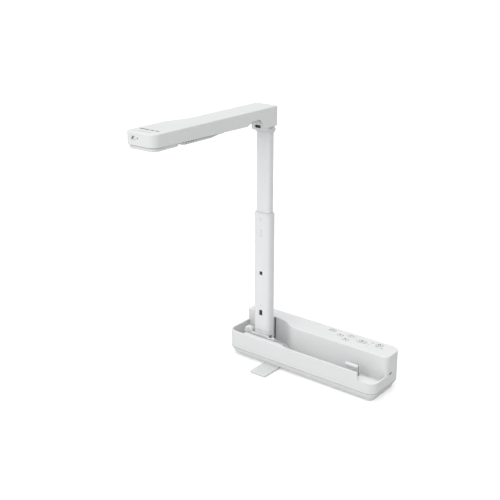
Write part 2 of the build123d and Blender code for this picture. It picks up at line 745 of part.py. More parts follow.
with BuildPart() as outer_tube:
    with BuildSketch(plane_z(COL_BOTTOM)):
        with Locations(COL_AXIS):
            RectangleRounded(*COLUMN)
            RectangleRounded(*BORE, mode=Mode.SUBTRACT)
    extrude(amount=COL_TOP - COL_BOTTOM)
    # windows in the front face
    with BuildSketch(plane_y(y_at(14))):
        for z, window in WINDOWS:
            with Locations((COL_X, z)):
                RectangleRounded(*window)
        with Locations(ROUND_WINDOW):
            Circle(ROUND_WINDOW_R)
    extrude(amount=-6, mode=Mode.SUBTRACT)
    # fold axis, open at the back only
    with BuildSketch(plane_y(COL_Y)):
        with Locations(PIVOT):
            Circle(PIVOT_BORE_R)
    extrude(amount=-12, mode=Mode.SUBTRACT)
finish(outer_tube, "outer_tube")

COL_FOOT_START = PIVOT_Z - CAM_R - 1    # just below the cam
SPIGOT_BOTTOM = COL_BOTTOM - 0.5

with BuildPart() as column_foot:
    with BuildSketch(plane_z(COL_FOOT_START)):
        with Locations(COL_AXIS):
            RectangleRounded(*COLUMN)
    extrude(amount=COL_BOTTOM - 0.4 - COL_FOOT_START)
    # spigot up the outer tube
    with BuildSketch(plane_z(SPIGOT_BOTTOM)):
        with Locations(COL_AXIS):
            RectangleRounded(*inset(BORE, 0.05))
    extrude(amount=68.5 - SPIGOT_BOTTOM)
    # round the foot about the fold axis, then bore it
    for radius, mode in ((CAM_R, Mode.INTERSECT), (PIVOT_BORE_R, Mode.SUBTRACT)):
        with BuildSketch(plane_y(y_at(10))):
            with Locations(PIVOT):
                Circle(radius)
        extrude(amount=-30, mode=mode)
finish(column_foot, "column_foot")

with BuildPart() as slide_bush:
    with BuildSketch(plane_z(BUSH_BOTTOM)):
        with Locations(COL_AXIS):
            RectangleRounded(*inset(BORE, 0.02))
    extrude(amount=COL_TOP - BUSH_BOTTOM)
    # collar on top of the outer tube
    with BuildSketch(plane_z(COL_TOP)):
        with Locations(COL_AXIS):
            RectangleRounded(*COLUMN)
    extrude(amount=COLLAR_TOP - COL_TOP)
    fillet(slide_bush.faces().sort_by(Axis.Z)[-1].outer_wire().edges(), 0.5)
    with BuildSketch(plane_z(BUSH_BOTTOM - 1)):
        with Locations(COL_AXIS):
            RectangleRounded(*inset(INNER, -0.05))
    extrude(amount=50, mode=Mode.SUBTRACT)
finish(slide_bush, "slide_bush")

with BuildPart() as window_plugs:
    with BuildSketch(plane_y(y_at(16.35))):
        for z, window in WINDOWS:
            with Locations((COL_X, z)):
                RectangleRounded(*inset(window, PLUG_GAP))
    extrude(amount=-0.9)
finish(window_plugs, "window_plugs")

with BuildPart() as bush_cap:
    with BuildSketch(plane_y(y_at(16.25))):
        with Locations(ROUND_WINDOW):
            Circle(ROUND_WINDOW_R - PLUG_GAP)
    extrude(amount=-1.05)
finish(bush_cap, "bush_cap")

# ============================================================== column, upper
with BuildPart() as inner_tube:
    with BuildSketch(plane_z(INNER_BOTTOM)):
        with Locations(COL_AXIS):
            RectangleRounded(*INNER)
            RectangleRounded(*INNER_BORE, mode=Mode.SUBTRACT)
    extrude(amount=INNER_TOP - INNER_BOTTOM)
finish(inner_tube, "inner_tube")

with BuildPart() as slide_shoe:
    with BuildSketch(plane_z(166.0)):
        with Locations(COL_AXIS):
            RectangleRounded(*inset(BORE, 0.08))
            RectangleRounded(*inset(INNER, -0.02), mode=Mode.SUBTRACT)
    extrude(amount=14.0)
finish(slide_shoe, "slide_shoe")

RIBBON_W = 12.0
RIBBON_BOTTOM, RIBBON_TOP = 167.0, 334.0

with BuildPart() as column_ribbon:
    with BuildSketch(plane_z(RIBBON_BOTTOM)):
        with Locations(COL_AXIS):
            Rectangle(RIBBON_W, 1.2)
    extrude(amount=RIBBON_TOP - RIBBON_BOTTOM)
finish(column_ribbon, "column_ribbon")

YOKE_BOTTOM = 318.0
GROMMET_CENTRE = (x_at(44.4), 345.0)    # x, z
GROMMET_POCKET = (9.4, 4.2, 1.2)
KNUCKLE_FRONT, KNUCKLE_BACK = HINGE_Y - KNUCKLE_R, HINGE_Y + KNUCKLE_R

with BuildPart() as top_yoke:
    # plug in the inner tube, then the cap on its end
    with BuildSketch(plane_z(YOKE_BOTTOM)):
        with Locations(COL_AXIS):
            RectangleRounded(*inset(INNER_BORE, 0.05))
    extrude(amount=INNER_TOP - YOKE_BOTTOM)
    with BuildSketch(plane_z(INNER_TOP)):
        with Locations(COL_AXIS):
            RectangleRounded(27.4, 15.4, 5.6)
    extrude(amount=5.0)
    fillet(top_yoke.faces().sort_by(Axis.Z)[-1].edges(), 0.8)
    # neck and knuckle
    with BuildSketch(plane_x(COL_X - KNUCKLE_HALF_W)):
        with Locations(HINGE):
            Circle(KNUCKLE_R)
        with BuildLine():
            Polyline(
                (KNUCKLE_FRONT, HINGE_Z), (KNUCKLE_FRONT + 0.8, INNER_TOP + 2.5),
                (y_at(30.0), INNER_TOP + 2.5), (KNUCKLE_BACK, 346.0),
                (KNUCKLE_BACK, HINGE_Z), close=True)
        make_face()
    extrude(amount=2 * KNUCKLE_HALF_W)
    # hinge pin bore
    with BuildSketch(plane_x(COL_X - 20.0)):
        with Locations(HINGE):
            Circle(PIN_R + 0.06)
    extrude(amount=40.0, mode=Mode.SUBTRACT)
    # cable way up the middle
    with BuildSketch(plane_z(YOKE_BOTTOM - 1)):
        with Locations(COL_AXIS):
            Rectangle(13.0, 2.2)
    extrude(amount=INNER_TOP + 4 - (YOKE_BOTTOM - 1), mode=Mode.SUBTRACT)
    # pocket in the neck for the cable grommet
    with BuildSketch(plane_y(y_at(9))):
        with Locations(GROMMET_CENTRE):
            RectangleRounded(*GROMMET_POCKET)
    extrude(amount=-6.2, mode=Mode.SUBTRACT)
finish(top_yoke, "top_yoke")

with BuildPart() as cable_grommet:
    with BuildSketch(plane_y(y_at(12.9))):
        with Locations(GROMMET_CENTRE):
            RectangleRounded(*inset(GROMMET_POCKET, 0.05))
    extrude(amount=-2.2)
    fillet(cable_grommet.faces().sort_by(Axis.Y)[0].edges(), 0.4)
finish(cable_grommet, "cable_grommet")


# ======================================================================== arm
def arm_outline(gap):
    """Closed plan outline of the arm, moved in by gap; call inside a BuildLine."""
    right, left, head_left = ARM_RIGHT - gap, ARM_LEFT + gap, HEAD_LEFT + gap
    back, tip = ARM_BACK - gap, ARM_TIP + gap
    back_r, right_r, left_r = max(3.0 - gap, 0.6), 10.0 - gap, 8.0 - gap
    # an arc's midpoint lies this share of the radius in from both sides
    share = 1 - sqrt(0.5)
    Line((right, back - back_r), (right, tip + right_r))
    ThreePointArc((right, tip + right_r),
                  (right - right_r * share, tip + right_r * share),
                  (right - right_r, tip))
    Line((right - right_r, tip), (head_left + left_r, tip))
    ThreePointArc((head_left + left_r, tip),
                  (head_left + left_r * share, tip + left_r * share),
                  (head_left, tip + left_r))
    Line((head_left, tip + left_r), (head_left, y_at(-146)))
    # the wide head narrows to the arm
    Bezier((head_left, y_at(-146)), (head_left, y_at(-128)),
           (left, y_at(-120)), (left, y_at(-98)))
    Line((left, y_at(-98)), (left, back - back_r))
    ThreePointArc((left, back - back_r),
                  (left + back_r * share, back - back_r * share),
                  (left + back_r, back))
    Line((left + back_r, back), (right - back_r, back))
    ThreePointArc((right - back_r, back),
                  (right - back_r * share, back - back_r * share),
                  (right, back - back_r))


LAMP_BUTTON = (arm_x(31.0), 366.7)      # x, z
LAMP_LIGHT = (arm_x(38.4), 366.7)
BUTTON_OPENING = (8.3, 5.3, 2.6)
PIN_CAP_T = 0.7                         # depth kept for the cap at the left

with BuildPart() as arm_shell:
    with BuildSketch(plane_z(ARM_CUT_Z)):
        with BuildLine():
            arm_outline(0)
        make_face()
    extrude(amount=ARM_TOP - ARM_CUT_Z)
    fillet(arm_shell.faces().sort_by(Axis.Z)[-1].edges(), 1.2)
    # side profile: shallow at the tip, deep ears at the hinge, an arch between
    with BuildSketch(plane_x(arm_x(0))):
        with BuildLine():
            Line((ARM_TIP - 5, 357.9), (y_at(-38), 355.3))
            Bezier((y_at(-38), 355.3), (y_at(-33), 355.3), (y_at(-31), 360.4), (y_at(-25), 360.4))
            Line((y_at(-25), 360.4), (y_at(-13), 360.4))
            Bezier((y_at(-13), 360.4), (y_at(-4), 360.4), (y_at(-3), EAR_Z), (y_at(7), EAR_Z))
            Polyline((y_at(7), EAR_Z), (ARM_BACK + 5, EAR_Z), (ARM_BACK + 5, 330),
                     (ARM_TIP - 5, 330), (ARM_TIP - 5, 357.9))
        make_face()
    extrude(amount=90, mode=Mode.SUBTRACT)
    # hollow from below
    with BuildSketch(plane_z(ARM_CUT_Z)):
        with BuildLine():
            arm_outline(ARM_WALL)
        make_face()
    extrude(amount=ARM_TOP - ARM_WALL - ARM_CUT_Z, mode=Mode.SUBTRACT)
    # thick ears that carry the hinge pin
    for ear_start, ear_end in ((ARM_LEFT + 1.0, EAR_INNER_LEFT),
                               (EAR_INNER_RIGHT, ARM_RIGHT - 1.0)):
        with BuildSketch(plane_x(ear_start)):
            rect_between(y_at(9.5), y_at(23.2), EAR_Z, POST_TOP)
        extrude(amount=ear_end - ear_start)
    # screw bosses
    with BuildSketch(plane_z(UNDER_TOP)):
        with Locations(*ARM_POSTS):
            Circle(3.0)
    extrude(amount=POST_TOP - UNDER_TOP)
    with BuildSketch(plane_z(UNDER_Z)):
        with Locations(*ARM_POSTS):
            Circle(1.2)
    extrude(amount=10.5, mode=Mode.SUBTRACT)
    # pin bore: through on the left side, blind on the right side
    with BuildSketch(plane_x(ARM_LEFT - 1)):
        with Locations(HINGE):
            Circle(PIN_R)
    extrude(amount=ARM_RIGHT - 1.3 - (ARM_LEFT - 1), mode=Mode.SUBTRACT)
    # lamp button and indicator openings in the tip
    with BuildSketch(plane_y(ARM_TIP - 2)):
        with Locations(LAMP_BUTTON):
            RectangleRounded(*BUTTON_OPENING)
        with Locations(LAMP_LIGHT):
            Circle(0.95)
    extrude(amount=-5, mode=Mode.SUBTRACT)
finish(arm_shell, "arm_shell")

SLIDE_X = (arm_x(36.5), arm_x(55.5))    # lens cover hooks and their slots

with BuildPart() as arm_under_plate:
    with BuildSketch(plane_z(UNDER_Z)):
        with BuildLine():
            arm_outline(ARM_WALL + 0.06)
        make_face()
        # the plate stops short of the arch
        rect_between(arm_x(0), arm_x(80), y_at(-38), y_at(36), mode=Mode.SUBTRACT)
        with Locations(LENS):
            Circle(5.6, mode=Mode.SUBTRACT)
        with Locations(*[(x, y_at(-92.5)) for x in SLIDE_X]):
            Rectangle(2.6, 24.6, mode=Mode.SUBTRACT)
        # small rectangular opening between the lens and the lamp
        with Locations((arm_x(41), y_at(-166))):
            Rectangle(8, 4, mode=Mode.SUBTRACT)
        with Locations(*ARM_POSTS):
            Circle(1.3, mode=Mode.SUBTRACT)
    extrude(amount=UNDER_T)
finish(arm_under_plate, "arm_under_plate")

build_screws("arm_screws", ARM_POSTS, [
    (UNDER_Z - 1.2, 2.3, 0.7, 1.0),
    (UNDER_Z - 0.5, 2.3, 0.5, None),
    (UNDER_Z, 1.15, 9.8, None),
])

with BuildPart() as arm_hinge_pin:
    with BuildSketch(plane_x(ARM_LEFT + PIN_CAP_T)):
        with Locations(HINGE):
            Circle(PIN_R - 0.005)
    extrude(amount=ARM_RIGHT - 1.4 - ARM_LEFT - PIN_CAP_T)
finish(arm_hinge_pin, "arm_hinge_pin")

with BuildPart() as hinge_pin_cap:
    with BuildSketch(plane_x(ARM_LEFT)):
        with Locations(HINGE):
            Circle(PIN_R - 0.02)
    extrude(amount=PIN_CAP_T - 0.05)
finish(hinge_pin_cap, "hinge_pin_cap")

# one each side of the yoke's knuckle, with a hairline gap to it
KNUCKLE_GAP = 0.03

with BuildPart() as hinge_washers:
    for washer_start, washer_end in (
        (EAR_INNER_LEFT, COL_X - KNUCKLE_HALF_W - KNUCKLE_GAP),
        (COL_X + KNUCKLE_HALF_W + KNUCKLE_GAP, EAR_INNER_RIGHT),
    ):
        with BuildSketch(plane_x(washer_start)):
            with Locations(HINGE):
                Circle(6.0)
                Circle(PIN_R + 0.02, mode=Mode.SUBTRACT)
        extrude(amount=washer_end - washer_start)
finish(hinge_washers, "hinge_washers")

# --------------------------------------------------------------- camera module
CAMERA_H = 5.2
CAMERA_BOARD_T = 1.2
CAMERA_TOP = UNDER_TOP + CAMERA_H

with BuildPart() as camera_housing:
    with BuildSketch(plane_z(UNDER_TOP)):
        with Locations(LENS):
            RectangleRounded(20, 20, 2)
            Circle(5.55, mode=Mode.SUBTRACT)
    extrude(amount=CAMERA_H)
finish(camera_housing, "camera_housing")

with BuildPart() as lens_barrel:
    # tube, then the ring inside it: bottom z, outer radius, bore radius, height
    for bottom, outer_r, bore_r, height in (
        (UNDER_Z, 5.5, 4.5, 6.6),
        (UNDER_Z + 2.2, 4.6, 3.2, 1.2),
    ):
        with BuildSketch(plane_z(bottom)):
            with Locations(LENS):
                Circle(outer_r)
                Circle(bore_r, mode=Mode.SUBTRACT)
        extrude(amount=height)
finish(lens_barrel, "lens_barrel")

with BuildPart() as lens_glass:
    with BuildSketch(plane_z(UNDER_Z + 1.0)):
        with Locations(LENS):
            Circle(4.48)
    extrude(amount=1.2)
finish(lens_glass, "lens_glass")

with BuildPart() as camera_board:
    with BuildSketch(plane_z(CAMERA_TOP)):
        with Locations(LENS):
            RectangleRounded(24, 30, 1.5)
    extrude(amount=CAMERA_BOARD_T)
    # block on top of the board, behind the lens axis
    with BuildSketch(plane_z(CAMERA_TOP + CAMERA_BOARD_T)):
        with Locations((LENS_X, LENS_Y + 6)):
            Rectangle(10, 8)
    extrude(amount=1.0)
finish(camera_board, "camera_board")

with BuildPart() as arm_ribbon:
    with BuildSketch(plane_z(365.6)):
        rect_between(LENS_X - RIBBON_W / 2, LENS_X + RIBBON_W / 2, y_at(-118.5), y_at(-28))
    extrude(amount=0.8)
finish(arm_ribbon, "arm_ribbon")

# ------------------------------------------------------------- head undercover
LAMP_X, LAMP_Y = arm_x(41), y_at(-184)
LAMP = (LAMP_X, LAMP_Y)
LAMP_WINDOW = (18, 20, 3)
LAMP_BOARD_Z = COVER_Z + 3.8
LED_H = 0.8

with BuildPart() as head_undercover:
    with BuildSketch(plane_z(COVER_Z)) as cover_plan:
        with BuildLine():
            arm_outline(2.1)
        make_face()
        rect_between(arm_x(10.8), arm_x(70.8), y_at(-205.4), y_at(-160.2), mode=Mode.INTERSECT)
        fillet(cover_plan.vertices().group_by(Axis.Y)[-1], 7.0)
    extrude(amount=UNDER_Z - 0.06 - COVER_Z)
    fillet(head_undercover.faces().sort_by(Axis.Z)[0].edges(), 2.6)
    # hollow from above
    with BuildSketch(plane_z(COVER_Z + 1.5)) as hollow_plan:
        with BuildLine():
            arm_outline(3.7)
        make_face()
        rect_between(arm_x(10.8), arm_x(70.8), y_at(-204.4), y_at(-161.8), mode=Mode.INTERSECT)
        fillet(hollow_plan.vertices().group_by(Axis.Y)[-1], 5.4)
    extrude(amount=10, mode=Mode.SUBTRACT)
    # lamp window
    with BuildSketch(plane_z(COVER_Z - 1)):
        with Locations(LAMP):
            RectangleRounded(*LAMP_WINDOW)
    extrude(amount=4, mode=Mode.SUBTRACT)
    # rails for the lamp board
    with BuildSketch(plane_z(COVER_Z + 1.4)):
        with Locations((LAMP_X - 11.4, LAMP_Y), (LAMP_X + 11.4, LAMP_Y)):
            Rectangle(2.0, 20)
    extrude(amount=2.4)
finish(head_undercover, "head_undercover")

with BuildPart() as lamp_board:
    with BuildSketch(plane_z(LAMP_BOARD_Z)):
        with Locations(LAMP):
            Rectangle(25, 22)
    extrude(amount=1.0)
finish(lamp_board, "lamp_board")

with BuildPart() as lamp_leds:
    with BuildSketch(plane_z(LAMP_BOARD_Z - LED_H)):
        with Locations(*[(LAMP_X + x, LAMP_Y + y) for y in (-5, 5) for x in (-4.5, 4.5)]):
            Rectangle(3.0, 3.0)
    extrude(amount=LED_H)
finish(lamp_leds, "lamp_leds")

with BuildPart() as lamp_diffuser:
    with BuildSketch(plane_z(COVER_Z + 0.15)):
        with Locations(LAMP):
            RectangleRounded(*inset(LAMP_WINDOW, 0.05))
    extrude(amount=1.5)
finish(lamp_diffuser, "lamp_diffuser")

# ------------------------------------------------------------------ lamp button
with BuildPart() as lamp_button:
    with BuildSketch(plane_y(ARM_TIP - 0.45)):
        with Locations(LAMP_BUTTON):
            RectangleRounded(*inset(BUTTON_OPENING, 0.15))
    extrude(amount=-3.6)
    fillet(lamp_button.faces().sort_by(Axis.Y)[0].edges(), 0.4)
    # flange behind the tip wall
    with BuildSketch(plane_y(ARM_TIP + ARM_WALL + 0.15)):
        with Locations(LAMP_BUTTON):
            RectangleRounded(9.6, 6.6, 2.6)
    extrude(amount=-1.2)
finish(lamp_button, "lamp_button")

with BuildPart() as lamp_switch:
    with BuildSketch(plane_y(ARM_TIP + 4.2)):
        with Locations(LAMP_BUTTON):
            Rectangle(6.0, 5.0)
    extrude(amount=-3.0)
    # plunger
    with BuildSketch(plane_y(ARM_TIP + 3.8)):
        with Locations(LAMP_BUTTON):
            Circle(1.0)
    extrude(amount=-0.5)
    # carrier that stands on the under plate
    with BuildSketch(plane_y(ARM_TIP + 7.2)):
        rect_between(arm_x(26.0), arm_x(40.0), UNDER_TOP, 369.8)
    extrude(amount=-1.0)
finish(lamp_switch, "lamp_switch")

with BuildPart() as lamp_indicator:
    with BuildSketch(plane_y(ARM_TIP + 0.1)):
        with Locations(LAMP_LIGHT):
            Circle(0.9)
    extrude(amount=-7.1)
finish(lamp_indicator, "lamp_indicator")

# ------------------------------------------------------------------ lens cover
SLIDER_LEFT, SLIDER_RIGHT = arm_x(30.2), arm_x(62.3)
SLIDER_Z = 352.5
SLIDER_CUT_Z = 351.4            # cuts start below the slider
HOOK_Y, HOOK_L = y_at(-100), 8
GRIP_COUNT, GRIP_PITCH = 5, 4.2

with BuildPart() as lens_cover:
    with BuildSketch(plane_z(SLIDER_Z)):
        rect_between(SLIDER_LEFT, SLIDER_RIGHT, y_at(-155.4), y_at(-85), radius=4)
    extrude(amount=UNDER_Z - 0.15 - SLIDER_Z)
    # the back end runs out upwards
    with BuildSketch(plane_x(arm_x(25))):
        with BuildLine():
            Polyline((y_at(-106), SLIDER_CUT_Z), (y_at(-106), SLIDER_Z),
                     (y_at(-84), 356.3), (y_at(-84), SLIDER_CUT_Z), close=True)
        make_face()
    extrude(amount=45, mode=Mode.SUBTRACT)
    fillet(lens_cover.edges().filter_by(lambda e: e.center().Z < SLIDER_Z + 0.1), 0.9)
    # ribbed grip on both sides
    for n in range(GRIP_COUNT):
        grip_y = y_at(-150.6 + GRIP_PITCH * n)
        with BuildSketch(plane_z(SLIDER_CUT_Z)):
            with Locations((SLIDER_RIGHT, grip_y), (SLIDER_LEFT, grip_y)):
                Rectangle(2.4, 1.7)
        extrude(amount=UNDER_Z - 0.7 - SLIDER_CUT_Z, mode=Mode.SUBTRACT)
    # lens window
    with BuildSketch(plane_z(SLIDER_CUT_Z)):
        with Locations(LENS):
            Circle(6.0)
    extrude(amount=8, mode=Mode.SUBTRACT)
    # hooks in the under plate's slots: stems, then the wider heads above it
    for bottom, width, height in (
        (UNDER_Z - 0.3, 2.2, UNDER_T + 0.5),
        (UNDER_TOP + 0.15, 4.6, 1.2),
    ):
        with BuildSketch(plane_z(bottom)):
            with Locations(*[(x, HOOK_Y) for x in SLIDE_X]):
                Rectangle(width, HOOK_L)
        extrude(amount=height)
finish(lens_cover, "lens_cover")
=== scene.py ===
"""A document camera: a long base with keys, a column, and an arm that reaches out over the table.

Row frame: metres, +X right, -Y front, +Z up. The origin lies on the table under the middle
of the base. Stations are in mm from the base's left end (x), its front face (y) and the
table (z), so the arm, which reaches forward, has negative y stations.
"""
import json
import math

import bmesh
import bpy
from mathutils import Matrix, Vector


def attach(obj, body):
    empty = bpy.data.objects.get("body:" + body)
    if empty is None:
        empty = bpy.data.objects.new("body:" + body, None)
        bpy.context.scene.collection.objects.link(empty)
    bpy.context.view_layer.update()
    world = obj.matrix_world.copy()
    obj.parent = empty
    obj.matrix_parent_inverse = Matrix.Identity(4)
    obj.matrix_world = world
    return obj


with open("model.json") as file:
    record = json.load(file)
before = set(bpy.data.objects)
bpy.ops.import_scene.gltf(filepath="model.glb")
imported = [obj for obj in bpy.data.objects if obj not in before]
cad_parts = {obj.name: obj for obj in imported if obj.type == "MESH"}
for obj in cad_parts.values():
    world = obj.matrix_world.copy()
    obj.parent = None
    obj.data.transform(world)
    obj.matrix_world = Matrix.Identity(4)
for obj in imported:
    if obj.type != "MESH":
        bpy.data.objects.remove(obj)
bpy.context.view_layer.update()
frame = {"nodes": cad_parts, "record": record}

MM = 0.001
BASE_LENGTH = 248.0
BASE_DEPTH = 70.4


def station(x, y, z):
    """A station in mm as a point of the row frame in metres."""
    return Vector(((x - BASE_LENGTH / 2) * MM, (y - BASE_DEPTH / 2) * MM, z * MM))


# ---------------------------------------------------------------- node graphs
# Colours are linear RGB triples. Texture scales are per metre, and edge radii and bump
# and crevice distances are in metres.
MIDDLE = (0.3, 0.7)  # the part of a noise's range that holds most of its values


def grey(value):
    return (value, value, value)


def shade(tone, *factors, lift=0.0):
    """The tone times one factor, or one for each channel, plus lift."""
    if len(factors) == 1:
        factors *= 3
    return tuple(c * factor + lift for c, factor in zip(tone, factors))


class Graph:
    """Short hand for building a node tree."""

    def __init__(self, tree):
        self.tree = tree
        tree.nodes.clear()

    def feed(self, node, sockets):
        """Link or set inputs, given by name or index; None leaves an input alone."""
        for key, value in sockets.items():
            socket = node.inputs[key]
            if isinstance(value, bpy.types.NodeSocket):
                self.tree.links.new(value, socket)
            elif value is not None:
                socket.default_value = (*value, 1.0) if socket.type == "RGBA" else value

    def node(self, kind, sockets=None, **props):
        node = self.tree.nodes.new(kind)
        for key, value in props.items():
            setattr(node, key, value)
        self.feed(node, sockets or {})
        return node

    def math(self, operation, first, second=None):
        sockets = {0: first, 1: second}
        return self.node("ShaderNodeMath", sockets, operation=operation).outputs[0]

    def dot(self, first, second):
        sockets = {0: first, 1: second}
        node = self.node("ShaderNodeVectorMath", sockets, operation="DOT_PRODUCT")
        return node.outputs["Value"]

    def camera_ray(self):
        return self.node("ShaderNodeLightPath").outputs["Is Camera Ray"]


class Surface(Graph):
    """A new material with one Principled shader."""

    def __init__(self, name):
        self.material = bpy.data.materials.new(name)
        self.material.use_nodes = True
        super().__init__(self.material.node_tree)
        output = self.node("ShaderNodeOutputMaterial")
        self.bsdf = self.node("ShaderNodeBsdfPrincipled")
        self.feed(output, {0: self.bsdf.outputs[0]})
        self.coord = self.node("ShaderNodeTexCoord").outputs["Object"]

    def finish(self, sockets):
        """Feed the shader and return the material."""
        self.feed(self.bsdf, sockets)
        return self.material

    def stretched(self, scale):
        sockets = {"Scale": scale, "Vector": self.coord}
        return self.node("ShaderNodeMapping", sockets).outputs["Vector"]

    def noise(self, scale, detail=3.0, rough=0.5, vector=None):
        return self.node("ShaderNodeTexNoise", {
            "Scale": scale,
            "Detail": detail,
            "Roughness": rough,
            "Vector": vector or self.coord,
        }).outputs["Fac"]

    def cells(self, scale, feature="SMOOTH_F1"):
        sockets = {"Scale": scale, "Vector": self.coord}
        node = self.node("ShaderNodeTexVoronoi", sockets, feature=feature)
        return node.outputs["Distance"]

    def bands(self, scale, direction, distortion=0.0):
        sockets = {"Scale": scale, "Distortion": distortion, "Vector": self.coord}
        node = self.node("ShaderNodeTexWave", sockets, wave_type="BANDS",
                         bands_direction=direction, wave_profile="SIN")
        return node.outputs["Fac"]

    def facing(self, blend):
        return self.node("ShaderNodeLayerWeight", {"Blend": blend}).outputs["Facing"]

    def remap(self, value, span=MIDDLE, to=(0.0, 1.0)):
        return self.node("ShaderNodeMapRange", {
            "Value": value,
            "From Min": span[0],
            "From Max": span[1],
            "To Min": to[0],
            "To Max": to[1],
        }).outputs["Result"]

    def mix(self, factor, first, second):
        sockets = {0: factor, 6: first, 7: second}
        node = self.node("ShaderNodeMix", data_type="RGBA", blend_type="MIX")
        self.feed(node, sockets)
        return node.outputs[2]

    def bump(self, height, strength, distance, normal=None):
        return self.node("ShaderNodeBump", {
            "Strength": strength,
            "Distance": distance,
            "Height": height,
            "Normal": normal,
        }).outputs["Normal"]

    def round_edges(self, radius):
        return self.node("ShaderNodeBevel", {"Radius": radius}, samples=4).outputs["Normal"]

    def edge_mask(self, rounded):
        """1 on convex and concave edges, 0 on open faces."""
        true_normal = self.node("ShaderNodeNewGeometry").outputs["Normal"]
        return self.remap(self.dot(rounded, true_normal), span=(0.995, 0.90))

    def crevice(self, distance):
        sockets = {"Distance": distance}
        return self.node("ShaderNodeAmbientOcclusion", sockets, samples=4).outputs["AO"]


# ------------------------------------------------------------------ materials
def moulded(name, tone, rough, grain=4200.0, grain_depth=0.00004, edge=0.00035, dirt=0.17):
    """Injection-moulded plastic: fine spark-eroded grain, faint flow and colour
    variation, edges smoother in patches and lighter there as a painted highlight, painted shade
    in crevices."""
    mat = Surface(name)
    rounded = mat.round_edges(radius=edge)
    broad = mat.noise(scale=14.0, detail=2.0)
    cloud = mat.noise(scale=95.0, detail=4.0, rough=0.6)
    colour = mat.mix(mat.remap(broad), shade(tone, 0.985), tone)
    clouding = mat.remap(cloud, span=(0.35, 0.75), to=(0.0, 0.35))
    colour = mat.mix(clouding, colour, shade(tone, 0.97, 0.972, 0.965))

    # painted highlight: edges, concave ones too, are lighter in patches, and smoother there as
    # well
    patches = mat.remap(mat.noise(scale=420.0, detail=3.0, rough=0.7), span=(0.42, 0.62))
    polish_and_edge_highlight = mat.math("MULTIPLY", mat.edge_mask(rounded), patches)
    colour = mat.mix(polish_and_edge_highlight, colour, shade(tone, 1.05))
    # painted shade: darker in crevices, pockets and gaps between parts, by up to the given amount
    dust_and_painted_shade = mat.remap(mat.crevice(distance=0.014), span=(0.25, 0.92), to=(dirt, 0.0))
    colour = mat.mix(dust_and_painted_shade, colour, shade(tone, 0.55, 0.54, 0.52))

    dull = mat.remap(cloud, to=(rough - 0.05, rough + 0.06))
    # polished edges are smoother by up to this second factor
    polish_gain = mat.math("MULTIPLY", polish_and_edge_highlight, 0.14)

    # the coarser of the two grains has 0.55 of the fine one's scale
    fine = mat.noise(scale=grain, detail=2.0, rough=0.6)
    height = mat.math("ADD", mat.cells(scale=grain * 0.55), fine)
    normal = mat.bump(height, strength=0.35, distance=grain_depth, normal=rounded)
    flow = mat.noise(scale=38.0, detail=2.0)
    return mat.finish({
        "Base Color": colour,
        "Roughness": mat.math("SUBTRACT", dull, polish_gain),
        "Normal": mat.bump(flow, strength=0.18, distance=0.00012, normal=normal),
        "Specular IOR Level": 0.45,
    })


def coated_tube(name, tone, rough):
    """Extruded aluminium tube, satin coated: very fine draw lines along Z under
    the coat, soft orange peel, small rubs from sliding."""
    mat = Surface(name)
    rounded = mat.round_edges(radius=0.0003)
    along = mat.stretched((1.0, 1.0, 0.012))
    lines = mat.noise(scale=900.0, detail=2.0, rough=0.6, vector=along)
    peel = mat.noise(scale=1500.0, detail=2.0)
    cloud = mat.noise(scale=60.0, detail=3.0, rough=0.6)
    colour = mat.mix(mat.remap(lines, span=(0.35, 0.65)), shade(tone, 0.985), tone)

    streaks = mat.noise(scale=260.0, detail=4.0, rough=0.7,
                        vector=mat.stretched((1.0, 1.0, 0.06)))
    rubs = mat.remap(streaks, span=(0.60, 0.74), to=(0.0, 0.25))
    colour = mat.mix(rubs, colour, shade(tone, 0.93, 0.935, 0.94))
    # painted shade: darker in crevices and low down where the column stands in the tray
    dust_and_painted_shade = mat.remap(mat.crevice(distance=0.020), span=(0.3, 0.92), to=(0.45, 0.0))
    normal = mat.bump(lines, strength=0.12, distance=0.00003, normal=rounded)
    return mat.finish({
        "Base Color": mat.mix(dust_and_painted_shade, colour, shade(tone, 0.5)),
        "Roughness": mat.remap(cloud, to=(rough - 0.04, rough + 0.06)),
        "Normal": mat.bump(peel, strength=0.10, distance=0.00003, normal=normal),
        "Specular IOR Level": 0.5,
        "Coat Weight": 0.15,
        "Coat Roughness": 0.25,
    })


def soft_rubber(name, tone):
    """Matt rubber with paler clouds and fine diagonal ribs."""
    mat = Surface(name)
    rounded = mat.round_edges(radius=0.0003)
    cloud = mat.noise(scale=160.0, detail=4.0, rough=0.65)
    pale = mat.remap(cloud, span=(0.35, 0.7), to=(0.0, 0.6))
    ribs = mat.bands(scale=260.0, direction="DIAGONAL", distortion=0.3)
    ribbed = mat.bump(ribs, strength=0.25, distance=0.0001, normal=rounded)
    grain = mat.noise(scale=3500.0, detail=2.0)
    return mat.finish({
        "Base Color": mat.mix(pale, tone, shade(tone, 1.7, 1.66, 1.6)),
        "Roughness": mat.remap(cloud, to=(0.72, 0.9)),
        "Normal": mat.bump(grain, strength=0.4, distance=0.00005, normal=ribbed),
    })


def plated_metal(name, tone, rough):
    """Plated metal, brushed along X."""
    mat = Surface(name)
    rounded = mat.round_edges(radius=0.0002)
    brushed = mat.noise(scale=1300.0, detail=3.0, rough=0.6,
                        vector=mat.stretched((0.03, 1.0, 1.0)))
    cloud = mat.noise(scale=120.0, detail=4.0, rough=0.6)
    clouding = mat.remap(cloud, span=(0.35, 0.7))
    return mat.finish({
        "Base Color": mat.mix(clouding, tone, shade(tone, 0.86, 0.87, 0.9)),
        "Metallic": 1.0,
        "Roughness": mat.remap(brushed, to=(rough - 0.08, rough + 0.1)),
        "Normal": mat.bump(brushed, strength=0.15, distance=0.00003, normal=rounded),
    })


